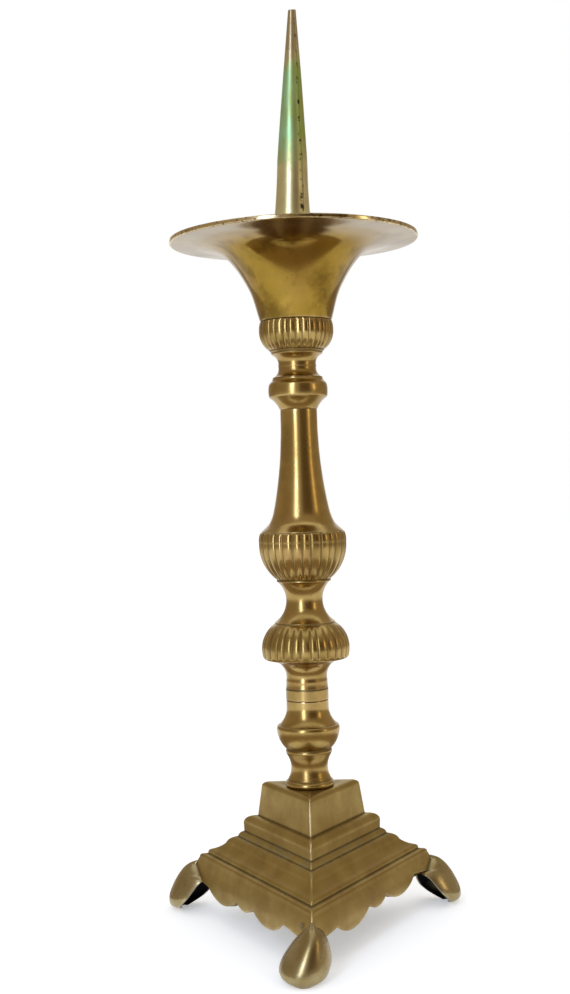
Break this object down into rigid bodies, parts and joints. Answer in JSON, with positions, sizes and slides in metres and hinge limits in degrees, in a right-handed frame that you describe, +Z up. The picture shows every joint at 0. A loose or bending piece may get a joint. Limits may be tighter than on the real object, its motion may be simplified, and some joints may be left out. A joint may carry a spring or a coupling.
{
  "type": "pricket candle stand",
  "caption": "Tall turned brass candle stand with gadrooned knops on a stepped triangular base with feet, a wide drip pan and a tall hollow spike for a candle.",
  "frame": {"origin": "on the stem's axis, on the surface that the three feet stand on", "axes": "+Z up along the stem, one corner of the base toward -Y, the spike leans slightly toward +X"},
  "size_m": [0.1684, 0.1603, 0.5],
  "materials": {
    "base_brass": "aged, satin, tarnished in the mouldings",
    "foot_brass": "aged, polished by handling",
    "stem_brass": "aged, polished",
    "pan_brass": "aged, polished, mottled",
    "spike_brass": "pale sheet, green tarnish toward the tip",
    "wrought_iron": "black, rusted"
  },
  "bodies": {
    "stand": {"base_casting": "base_brass", "foot_front": "foot_brass", "foot_left": "foot_brass", "foot_right": "foot_brass", "foot_roves": "foot_brass", "lower_knop": "stem_brass", "dome_knop": "stem_brass", "vase_knop": "stem_brass", "column": "stem_brass", "collar": "stem_brass", "capital": "stem_brass", "tie_rod": "wrought_iron", "base_washer": "wrought_iron", "base_nut": "wrought_iron", "stem_washer": "wrought_iron", "stem_nut": "wrought_iron"},
    "pan": {"drip_pan": "pan_brass"},
    "pricket": {"pricket_spike": "spike_brass", "spike_plug": "spike_brass", "spike_pin": "spike_brass", "pan_nut": "spike_brass"}
  },
  "joints": [
    {"name": "pan_rise", "type": "slide", "parent": "stand", "child": "pan", "axis": [0, 0, 1], "range_m": [0, 0.0125]},
    {"name": "pricket_turn", "type": "hinge", "parent": "pan", "child": "pricket", "pos_m": [0, 0, 0.356], "axis": [0, 0, 1], "range_deg": [0, 1800]}
  ],
  "couplings": [
    {"joint": "pricket_turn", "follows": "pan_rise", "rad_per_m": 2513.3}
  ]
}
